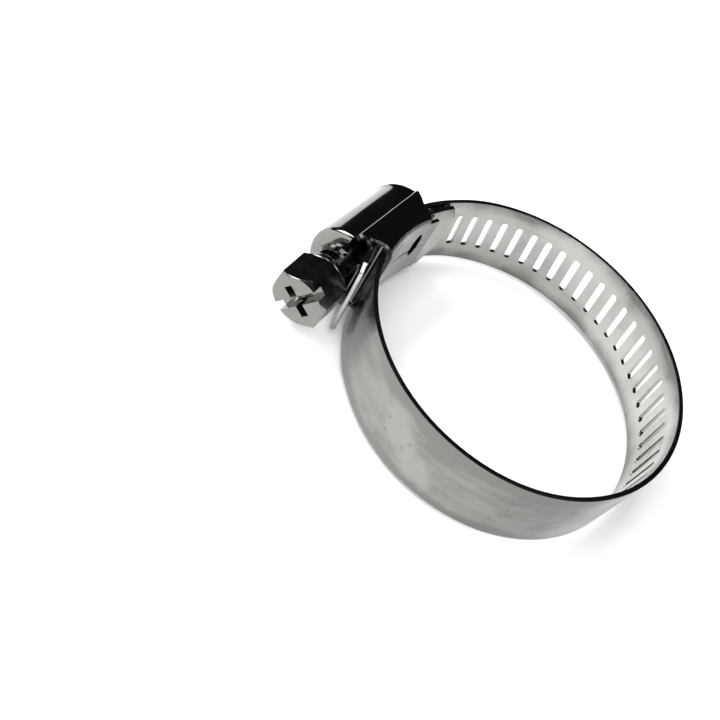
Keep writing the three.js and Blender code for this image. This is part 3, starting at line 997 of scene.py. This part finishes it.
@dataclass
class Housing:
    """The stamped cover: rounded roof, shouldered sides, folded wings and neck collar."""

    path: LoopPath = field(default_factory=LoopPath)
    window: LensWindow = field(default_factory=LensWindow)
    roof_x: float = -26.05
    roof_radius: float = 6.22
    roof_from: float = 97.0
    side_half: float = 7.17
    shoulder_x: float = -26.2
    wing_radius: float = 22.7
    wing_bend: float = 1.6
    sheet: float = 0.56
    roof_head_end: float = -7.75
    crown_depth: float = 0.65
    wing_head_end: float = -6.0
    tip_end: float = 7.0
    collar_radius: float = 3.1
    collar_end: float = -9.45
    screw_x: float = -27.95
    screw_tilt: float = 3.4
    slit: tuple[Point, ...] = ((-6.0, 0.05), (-1.5, 0.08), (1.0, 0.17), (3.6, 0.2),
                               (4.4, 0.06), (7.0, 0.04))
    side_cut: tuple[Point, ...] = ((-26.6, -8.3), (-25.3, -7.5), (-24.2, -6.7),
                                   (-23.2, -6.15), (-22.0, -6.0))
    tip_cut: tuple[Point, ...] = ((-26.8, 6.6), (-26.0, 6.3), (-25.2, 5.8), (-24.5, 5.2),
                                  (-24.0, 4.95), (-20.0, 4.9))
    tip_cut_rise: float = 5.3

    @property
    def middle(self) -> float:
        """Height of the clamp's mid-plane above the band's lower rim."""
        return self.path.width / 2

    def section(self) -> list[tuple[float, float, float]]:
        """Half section from the wing's edge to the ridge.

        Returns:
            (x, half width, follow) of each line, where follow says how far the line
            keeps to the round of the band.
        """
        flat = self.side_half - self.wing_bend
        points = [(-self.wing_radius, h, 1.0)
                  for h in (0.0, 0.5, 1.2, 2.2, 3.2, 4.2, flat - 0.5)]
        for degrees in range(0, 91, 9):
            a = math.radians(degrees)
            points.append((-self.wing_radius - self.wing_bend * (1 - math.cos(a)),
                           flat + self.wing_bend * math.sin(a), 1.0 - degrees / 90.0 * 0.75))
        foot = points[-1][0]
        for share, follow in ((0.33, 0.12), (0.66, 0.03), (1.0, 0.0)):
            points.append((foot + (self.shoulder_x - foot) * share, self.side_half, follow))
        start = math.radians(self.roof_from)
        corner = (self.roof_x + self.roof_radius * math.cos(start),
                  self.roof_radius * math.sin(start))
        drop = self.side_half - corner[1]
        points += [(self.shoulder_x - 0.16, self.side_half - 0.03, 0.0),
                   (self.shoulder_x - 0.27, self.side_half - 0.14, 0.0),
                   (self.shoulder_x - 0.33, self.side_half - 0.32, 0.0),
                   (self.shoulder_x - 0.4, self.side_half - drop + 0.12, 0.0),
                   (self.shoulder_x - 0.52, self.side_half - drop + 0.02, 0.0)]
        for degrees in range(100, 181, 5):
            a = math.radians(degrees)
            points.append((self.roof_x + self.roof_radius * math.cos(a),
                           self.roof_radius * math.sin(a), 0.0))
        return points

    def head_end(self, x: float) -> float:
        """Where the sheet's cut edge lies at the head end, for a line of the section."""
        lines = sorted(self.side_cut)
        if x < lines[0][0]:
            return self.roof_head_end
        return float(np.interp(x, [p[0] for p in lines], [p[1] for p in lines]))

    def shell_point(self, line: tuple[float, float, float], side: float, y: float) -> Vector:
        """A point of the cover's mid-sheet.

        Args:
            line: one entry of the section.
            side: +1 for the upper half, -1 for the lower.
            y: station along the screw, from the wing's head end on.

        Returns:
            The point, with the loop's axis at the origin.
        """
        x, half, follow = line
        if y < 0.0:
            y *= self.head_end(x) / self.wing_head_end
        if half == 0.0 and x > self.shoulder_x:
            half = float(np.interp(y, [p[0] for p in self.slit], [p[1] for p in self.slit]))
        sag = self.wing_radius - math.sqrt(self.wing_radius ** 2 - y ** 2)
        flare = max(0.0, (y - self.tip_end + 0.8) / 0.8) ** 2 * 0.16
        if x < self.shoulder_x - 0.45:
            out = Vector((x - self.roof_x, 0.0, half)).normalized() * flare
            return Vector((x + out.x, y, self.middle + side * (half + out.z)))
        return Vector((x + sag * follow, y, self.middle + side * half))

    def shell(self) -> bmesh.types.BMesh:
        """The long part of the cover, wing edge to wing edge.

        Returns:
            The mid-sheet as an open mesh.
        """
        half = self.section()
        lines = [(line, -1.0) for line in half] + [(line, 1.0) for line in half[-2::-1]]
        ys = [self.wing_head_end, self.wing_head_end + 0.12,
              *stations(self.wing_head_end + 0.5, self.tip_end - 0.8, 0.6),
              self.tip_end - 0.5, self.tip_end - 0.22, self.tip_end]
        mesh = flat_grid(list(range(len(lines))), ys)
        for vert in mesh.verts:
            line, side = lines[round(vert.co.x)]
            vert.co = self.shell_point(line, side, vert.co.y)
        return mesh

    def end_wall(self) -> bmesh.types.BMesh:
        """The roof's head end: it rounds over and closes to the neck's collar.

        Returns:
            The mid-sheet as an open mesh.
        """
        axis_x = self.screw_x - self.roof_head_end * math.tan(math.radians(self.screw_tilt))
        reach = self.roof_radius - self.collar_radius
        depth, lip = self.crown_depth, 0.3
        start = self.head_end(self.roof_x - self.roof_radius)
        run: list[Point] = []
        for degrees in range(0, 86, 8):
            a = math.radians(degrees)
            run.append((start - depth * math.sin(a), (1 - lip / reach) * (1 - math.cos(a))))
        wall = start - depth
        for degrees in (0, 22, 45, 70, 90):
            a = math.radians(degrees)
            run.append((wall - lip * (1 - math.cos(a)), 1 - lip * (1 - math.sin(a)) / reach))
        run.append((self.collar_end, 1.0))
        degrees = [*range(100, 181, 5), *range(185, 261, 5)]
        mesh = flat_grid([float(d) for d in degrees], [float(i) for i in range(len(run))])
        for vert in mesh.verts:
            y, close = run[round(vert.co.y)]
            a = math.radians(vert.co.x)
            b = math.radians(180 + (vert.co.x - 180) * (1 + 0.3 * close))
            roof = Vector((self.roof_x + self.roof_radius * math.cos(a), y,
                           self.middle - self.roof_radius * math.sin(a)))
            collar = Vector((axis_x + self.collar_radius * math.cos(b), y,
                             self.middle - self.collar_radius * math.sin(b)))
            vert.co = roof.lerp(collar, close)
        return mesh

    def window_cutter(self) -> bmesh.types.BMesh:
        """The cutter of the lens-shaped window, run along X through the wings."""
        tool = oval_prism(self.window.half_width, self.window.half_height, 3.0)
        bmesh.ops.rotate(tool, verts=tool.verts, cent=(0, 0, 0),
                         matrix=Matrix(((0, 0, 1), (1, 0, 0), (0, 1, 0))))
        spot = Vector((-self.wing_radius + 0.4, self.window.y, self.middle + self.window.rise))
        bmesh.ops.translate(tool, vec=spot, verts=tool.verts)
        bmesh.ops.recalc_face_normals(tool, faces=tool.faces)
        return tool

    def tip_corner(self, side: float) -> bmesh.types.BMesh:
        """What is cut off a side wall and its fold at the tip end, +1 above, -1 below."""
        first, last = self.tip_cut[0][0], self.tip_cut[-1][0]
        beyond = self.tip_end + 1.0
        heights = sorted(self.middle + side * rise
                         for rise in (self.tip_cut_rise, self.side_half + 1.0))
        return outline_prism(((first, beyond), *self.tip_cut, (last, beyond)), *heights)

    def build(self, finish: bpy.types.Material) -> bpy.types.Object:
        """Builds the cover and dresses it.

        Args:
            finish: the housing's material.

        Returns:
            The cover as an object on the housing's body.
        """
        mesh = joined(self.shell(), self.end_wall())
        bmesh.ops.remove_doubles(mesh, verts=mesh.verts, dist=SEAM_WELD)
        bmesh.ops.recalc_face_normals(mesh, faces=mesh.faces)
        sheet = loose_object("sheet", mesh)
        solid = sheet.modifiers.new("sheet", "SOLIDIFY")
        solid.thickness = self.sheet
        solid.offset = 0.0
        solid.use_even_offset = True
        cuts = joined(self.window_cutter(),
                      joined(self.tip_corner(-1.0), self.tip_corner(1.0)))
        body = carve(settled(sheet), cuts)
        bmesh.ops.translate(body, vec=Vector(self.path.centre), verts=body.verts)
        made = finish_object("housing_cover", body, finish, sharp=50.0)
        cut_edges(made, 0.11)
        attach(made, Body.HOUSING.value)
        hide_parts("housing")
        return made


def cut_edges(made: bpy.types.Object, corner: float) -> None:
    """Rounds the cut edges of a sheet-metal piece.

    Args:
        made: the object, in metres.
        corner: how far each rounded edge reaches, in millimetres.
    """
    bevel = made.modifiers.new("cut edges", "BEVEL")
    bevel.width = corner * MM
    bevel.segments = 2
    bevel.limit_method = "ANGLE"
    bevel.angle_limit = math.radians(55)
    bevel.harden_normals = True


def wall_thickness(made: bpy.types.Object, sheet: float, corner: float = 0.11) -> None:
    """Thickens a sheet evenly about its middle and rounds its cut edges.

    Args:
        made: the object whose mesh is the middle of the sheet.
        sheet: the sheet's thickness in millimetres.
        corner: how far its rounded edges reach.
    """
    solid = made.modifiers.new("sheet", "SOLIDIFY")
    solid.thickness = sheet * MM
    solid.offset = 0.0
    solid.use_even_offset = True
    cut_edges(made, corner)


@dataclass
class Saddle:
    """The stamped saddle between the two layers of band, with legs beside the lower one."""

    path: LoopPath = field(default_factory=LoopPath)
    floor_radius: float = 24.35
    half: float = 6.55
    leg_radius: float = 23.75
    bend: float = 0.35
    sheet: float = 0.28
    end: float = 6.2

    def section(self) -> list[Point]:
        """(radius, half width) lines from the leg's edge to the middle of the floor."""
        points = [(self.leg_radius, self.half), (self.leg_radius + 0.12, self.half)]
        for degrees in (0, 30, 60, 90):
            a = math.radians(degrees)
            points.append((self.floor_radius - self.bend * (1 - math.sin(a)),
                           self.half - self.bend * (1 - math.cos(a))))
        points += [(self.floor_radius, h) for h in (5.2, 3.9, 2.6, 1.3, 0.0)]
        return points

    def build(self, finish: bpy.types.Material) -> bpy.types.Object:
        """Builds the saddle and dresses it.

        Args:
            finish: the saddle's material.

        Returns:
            The saddle as an object on the housing's body.
        """
        half = self.section()
        lines = [(line, -1.0) for line in half] + [(line, 1.0) for line in half[-2::-1]]
        mesh = flat_grid(list(range(len(lines))), stations(-self.end, self.end, 0.6))
        for vert in mesh.verts:
            (radius, wide), side = lines[round(vert.co.x)]
            y = vert.co.y
            vert.co = Vector((-math.sqrt(radius ** 2 - y ** 2), y,
                              self.path.width / 2 + side * wide))
        bmesh.ops.translate(mesh, vec=Vector(self.path.centre), verts=mesh.verts)
        made = finish_object("saddle_plate", mesh, finish, sharp=60.0)
        wall_thickness(made, self.sheet, corner=0.06)
        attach(made, Body.HOUSING.value)
        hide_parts("saddle")
        return made


# ---- worm screw -----------------------------------------------------------------------


@dataclass
class WormScrew:
    """The screw: chamfered hex head with a combined recess, flange, neck and worm."""

    path: LoopPath = field(default_factory=LoopPath)
    axis_x: float = -27.95
    tilt: float = 3.4
    pitch: float = 2.69
    thread_radius: float = 3.15
    root_radius: float = 2.05
    base_half: float = 0.4
    crest_half: float = 0.12
    thread_from: float = -5.4
    thread_to: float = 7.2
    ridge_y: float = 0.0
    tip_y: float = 8.7
    neck_radius: float = 2.2
    neck_from: float = -6.9
    flange_radius: float = 4.15
    flange_from: float = -12.5
    step_radius: float = 3.7
    step_from: float = -11.4
    hex_from: float = -12.95
    head_face: float = -18.5
    across_flats: float = 7.94
    corner_angle: float = 24.0
    chamfer: float = 0.7
    drive_angle: float = 57.0
    slot_size: Point = (1.35, 1.5)
    cross_size: tuple[float, float, float] = (1.5, 5.5, 2.1)
    cross_taper: float = 0.62

    def placement(self) -> Matrix:
        """From the screw's own frame to the part's, in millimetres."""
        x, y, z = self.path.centre
        spot = Matrix.Translation((x + self.axis_x, y, z + self.path.width / 2))
        return spot @ Matrix.Rotation(math.radians(self.tilt), 4, "Z")

    def lathe(self, profile: Sequence[Point], sides: int) -> bmesh.types.BMesh:
        """Spins a profile of (y, radius) once round the screw's axis.

        Args:
            profile: the profile, with both ends on the axis.
            sides: how many steps make the full turn.

        Returns:
            The closed turned body.
        """
        mesh = bmesh.new()
        verts = [mesh.verts.new((radius, y, 0.0)) for y, radius in profile]
        edges = [mesh.edges.new(pair) for pair in zip(verts, verts[1:])]
        bmesh.ops.spin(mesh, geom=[*verts, *edges], cent=(0, 0, 0), axis=(0, 1, 0),
                       angle=2 * math.pi, steps=sides, use_merge=True)
        bmesh.ops.remove_doubles(mesh, verts=mesh.verts, dist=1e-4)
        bmesh.ops.recalc_face_normals(mesh, faces=mesh.faces)
        return mesh

    def shank(self) -> bmesh.types.BMesh:
        """Flange, neck, worm core and tip, turned in one.

        Returns:
            The closed turned form.
        """
        r, f = self.flange_radius, self.flange_from
        t, e = self.step_radius, self.step_from
        return self.lathe([
            (self.hex_from + 0.35, 0.0), (self.hex_from + 0.35, 2.6),
            (self.hex_from - 0.02, r - 0.42), (self.hex_from + 0.06, r - 0.2),
            (self.hex_from + 0.16, r - 0.05), (self.hex_from + 0.24, r), (f - 0.16, r),
            (f - 0.06, r - 0.04), (f, r - 0.15), (f, t + 0.2), (f + 0.04, t + 0.08),
            (f + 0.14, t), (e - 0.2, t), (e - 0.07, t - 0.05), (e, t - 0.18),
            (e, self.neck_radius + 0.35), (e + 0.06, self.neck_radius + 0.14),
            (e + 0.3, self.neck_radius),
            (self.neck_from - 0.2, self.neck_radius), (self.neck_from, self.neck_radius - 0.06),
            (self.neck_from + 0.15, self.root_radius), (self.tip_y - 0.95, self.root_radius),
            (self.tip_y - 0.2, 1.78), (self.tip_y - 0.05, 1.68), (self.tip_y, 1.5),
            (self.tip_y, 0.0)], 48)

    def ridge(self) -> bmesh.types.BMesh:
        """The worm's ridge: a small trapezium swept round and along the axis.

        Returns:
            The closed ridge.
        """
        mesh = bmesh.new()
        turns = (self.thread_to - self.thread_from) / self.pitch
        lead = 2 * math.pi * (self.thread_from - self.ridge_y) / self.pitch
        crown = (self.thread_radius - 0.07, self.thread_radius)
        outline = [(self.root_radius - 0.3, -self.base_half),
                   (self.root_radius, -self.base_half), (crown[0], -self.crest_half - 0.04),
                   (crown[1], -self.crest_half + 0.04), (crown[1], self.crest_half - 0.04),
                   (crown[0], self.crest_half + 0.04), (self.root_radius, self.base_half),
                   (self.root_radius - 0.3, self.base_half)]
        verts = [mesh.verts.new((radius, self.thread_from + y, 0.0)) for radius, y in outline]
        face = mesh.faces.new(verts)
        steps = round(turns * 40)
        advance = self.pitch * turns / steps
        bmesh.ops.rotate(mesh, verts=mesh.verts, cent=(0, 0, 0),
                         matrix=Matrix.Rotation(lead, 3, "Y"))
        bmesh.ops.spin(mesh, geom=[face, *face.verts, *face.edges], cent=(0, 0, 0),
                       axis=(0, 1, 0), dvec=(0, advance, 0), angle=2 * math.pi * turns,
                       steps=steps)
        bmesh.ops.recalc_face_normals(mesh, faces=mesh.faces)
        return mesh

    def hexagon(self) -> bmesh.types.BMesh:
        """The hexagonal prism, before its corners are turned off.

        Returns:
            The closed head.
        """
        mesh = bmesh.new()
        corner = self.across_flats / 2 / math.cos(math.pi / 6)
        ring = bmesh.ops.create_circle(mesh, cap_ends=True, radius=corner, segments=6)
        turn = Matrix.Rotation(-math.pi / 2, 3, "X")
        bmesh.ops.rotate(mesh, verts=ring["verts"], cent=(0, 0, 0), matrix=turn)
        first = math.degrees(math.atan2(mesh.verts[:][0].co.z, mesh.verts[:][0].co.x))
        bmesh.ops.rotate(mesh, verts=mesh.verts, cent=(0, 0, 0), matrix=Matrix.Rotation(
            -math.radians(self.corner_angle - first), 3, "Y"))
        bmesh.ops.translate(mesh, vec=(0, self.head_face, 0), verts=mesh.verts)
        made = bmesh.ops.extrude_face_region(mesh, geom=list(mesh.faces))
        raised = [v for v in made["geom"] if isinstance(v, bmesh.types.BMVert)]
        bmesh.ops.translate(mesh, vec=(0, self.hex_from - self.head_face + 0.2, 0), verts=raised)
        bmesh.ops.recalc_face_normals(mesh, faces=mesh.faces)
        return mesh

    def corner_form(self) -> bmesh.types.BMesh:
        """The turned form that the hexagon's corners are cut to."""
        corner = self.across_flats / 2 / math.cos(math.pi / 6)
        return self.lathe([
            (self.head_face - 0.01, 0.0), (self.head_face - 0.01, corner - self.chamfer),
            (self.head_face + 0.62, corner + 0.12), (self.hex_from - 0.2, corner + 0.12),
            (self.hex_from + 0.15, corner - 0.5), (self.hex_from + 0.15, 0.0)], 72)

    def recess(self) -> bmesh.types.BMesh:
        """The driver's recess: one slot right across and a deeper cross in the middle.

        Returns:
            The closed cutter.
        """
        mesh = bmesh.new()
        slot_width, slot_depth = self.slot_size
        cross_width, cross_length, cross_depth = self.cross_size
        boxes = ((12.0, slot_depth, slot_width), (cross_length, cross_depth, cross_width),
                 (cross_width, cross_depth, cross_length))
        turn = Matrix.Rotation(-math.radians(self.drive_angle), 4, "Y")
        for length, depth, width in boxes:
            middle = Matrix.Translation((0, self.head_face + (depth - 1) / 2, 0))
            size = Matrix.Diagonal((length, depth + 1, width, 1))
            made = bmesh.ops.create_cube(mesh, size=1.0, matrix=turn @ middle @ size)
            if length < 12.0:
                floor = [v for v in made["verts"] if v.co.y > self.head_face]
                for vert in floor:
                    vert.co.x *= self.cross_taper
                    vert.co.z *= self.cross_taper
        bmesh.ops.recalc_face_normals(mesh, faces=mesh.faces)
        return mesh

    def build(self, finish: bpy.types.Material) -> list[bpy.types.Object]:
        """Builds the head and the worm and dresses them.

        Args:
            finish: the screw's material.

        Returns:
            The two objects on the screw's body.
        """
        head = carve(self.hexagon(), self.corner_form(), "INTERSECT")
        head = carve(head, self.recess())
        bmesh.ops.dissolve_limit(head, angle_limit=math.radians(1.5), verts=head.verts,
                                 edges=head.edges)
        round_edges(head, sharp_edges(head, 38.0), 0.11, 2)
        bmesh.ops.transform(head, matrix=self.placement(), verts=head.verts)

        worm = joined(self.shank(), self.ridge())
        bmesh.ops.transform(worm, matrix=self.placement(), verts=worm.verts)

        pieces = [finish_object("screw_head", head, finish, sharp=32.0),
                  finish_object("screw_worm", worm, finish, sharp=32.0, recalc=False)]
        shade = pieces[0].modifiers.new("flat faces", "WEIGHTED_NORMAL")
        shade.keep_sharp = True
        for piece in pieces:
            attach(piece, Body.SCREW.value)
            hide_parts("worm_screw")
        return pieces


# ---- studio ---------------------------------------------------------------------------


@dataclass(frozen=True)
class SoftBox:
    """One soft lamp that shines on the clamp."""

    name: str
    direction: tuple[float, float, float]
    distance: float
    size: Point
    power: float
    tint: tuple[float, float, float] = (1.0, 1.0, 1.0)
    mirrored: bool = True

    def place(self, target: Vector) -> bpy.types.Object:
        """Hangs the lamp and turns it to the target.

        Args:
            target: the point it shines at, in metres.

        Returns:
            The lamp.
        """
        data = bpy.data.lights.new(self.name, "AREA")
        data.shape = "RECTANGLE"
        data.size, data.size_y = self.size
        data.energy = self.power
        data.color = self.tint
        lamp = bpy.data.objects.new(self.name, data)
        lamp.visible_glossy = self.mirrored
        lamp.location = target + Vector(self.direction).normalized() * self.distance
        look = target - lamp.location
        lamp.rotation_mode = "QUATERNION"
        lamp.rotation_quaternion = look.to_track_quat("-Z", "Y")
        bpy.context.scene.collection.objects.link(lamp)
        return lamp


@dataclass
class Studio:
    """Floor, lamps, surroundings and camera."""

    floor_size: float = 6.0
    floor_grey: float = 0.9
    surround: tuple[float, float, float] = (0.02, 0.0195, 0.019)
    camera_spot: tuple[float, float, float] = (1.931, -89.128, 93.548)
    camera_right: tuple[float, float, float] = (0.74383, 0.56822, 0.35193)
    camera_down: tuple[float, float, float] = (0.65812, -0.53079, -0.53398)
    camera_ahead: tuple[float, float, float] = (-0.11662, 0.62880, -0.76877)
    lens: float = 42.115
    target: tuple[float, float, float] = (0.0, 0.0, 0.006)
    lamps: tuple[SoftBox, ...] = (
        SoftBox("key_softbox", (-0.78, 0.1, 0.62), 0.7, (0.45, 0.45), 6.0, mirrored=False),
        SoftBox("left_softbox", (-0.75, -0.7, 0.35), 0.6, (0.3, 0.2), 1.6),
        SoftBox("overhead_softbox", (0.05, -0.4, 1.0), 0.6, (0.6, 0.4), 4.6),
    )

    def floor(self) -> bpy.types.Object:
        """Lays the plain pale floor that the clamp lies on.

        Returns:
            The floor.
        """
        mesh = bmesh.new()
        bmesh.ops.create_grid(mesh, x_segments=4, y_segments=4, size=self.floor_size / 2)
        data = bpy.data.meshes.new("floor")
        mesh.to_mesh(data)
        mesh.free()
        paint = bpy.data.materials.new("floor_paint")
        paint.use_nodes = True
        shader = paint.node_tree.nodes["Principled BSDF"]
        grey = self.floor_grey
        shader.inputs["Base Color"].default_value = (grey, grey, grey, 1.0)
        shader.inputs["Roughness"].default_value = 0.9
        shader.inputs["Specular IOR Level"].default_value = 0.1
        data.materials.append(paint)
        made = bpy.data.objects.new("floor", data)
        bpy.context.scene.collection.objects.link(made)
        return made

    def surroundings(self) -> None:
        """Sets the dim room round the lamps, which polished steel shows as dark."""
        world = bpy.data.worlds.new("studio")
        world.use_nodes = True
        background = world.node_tree.nodes["Background"]
        background.inputs["Color"].default_value = (*self.surround, 1.0)
        background.inputs["Strength"].default_value = 1.0
        bpy.context.scene.world = world

    def camera(self) -> bpy.types.Object:
        """Sets the camera over the head's end of the clamp.

        Returns:
            The camera, already the scene's own.
        """
        data = bpy.data.cameras.new("camera")
        data.sensor_width = 36.0
        data.lens = self.lens
        data.clip_start = 0.005
        data.clip_end = 20.0
        made = bpy.data.objects.new("camera", data)
        columns = [Vector(self.camera_right), -Vector(self.camera_down),
                   -Vector(self.camera_ahead)]
        turn = Matrix(columns).transposed().to_4x4()
        made.matrix_world = Matrix.Translation(Vector(self.camera_spot) * MM) @ turn
        bpy.context.scene.collection.objects.link(made)
        bpy.context.scene.camera = made
        return made

    def build(self) -> None:
        """Sets up the whole studio."""
        bpy.context.scene.view_settings.view_transform = "Standard"
        self.floor()
        self.surroundings()
        for lamp in self.lamps:
            lamp.place(Vector(self.target))
        self.camera()


# ---- assembly -------------------------------------------------------------------------


def report(label: str, pieces: Iterable[bpy.types.Object]) -> None:
    """Logs each piece of a sub-assembly with its size."""
    for piece in pieces:
        log.info("%s: %s, %d faces", label, piece.name, len(piece.data.polygons))


def main() -> None:
    """Builds the clamp piece by piece, then the studio."""
    logging.basicConfig(level=logging.INFO, format="%(name)s: %(message)s")
    effects = Effects()
    report("band", Band().build(BAND_FINISH.material(effects)))
    report("housing", [Housing().build(HOUSING_FINISH.material(effects))])
    report("saddle", [Saddle().build(SADDLE_FINISH.material(effects))])
    report("screw", WormScrew().build(SCREW_FINISH.material(effects)))
    Studio().build()


if __name__ == "__main__":
    main()
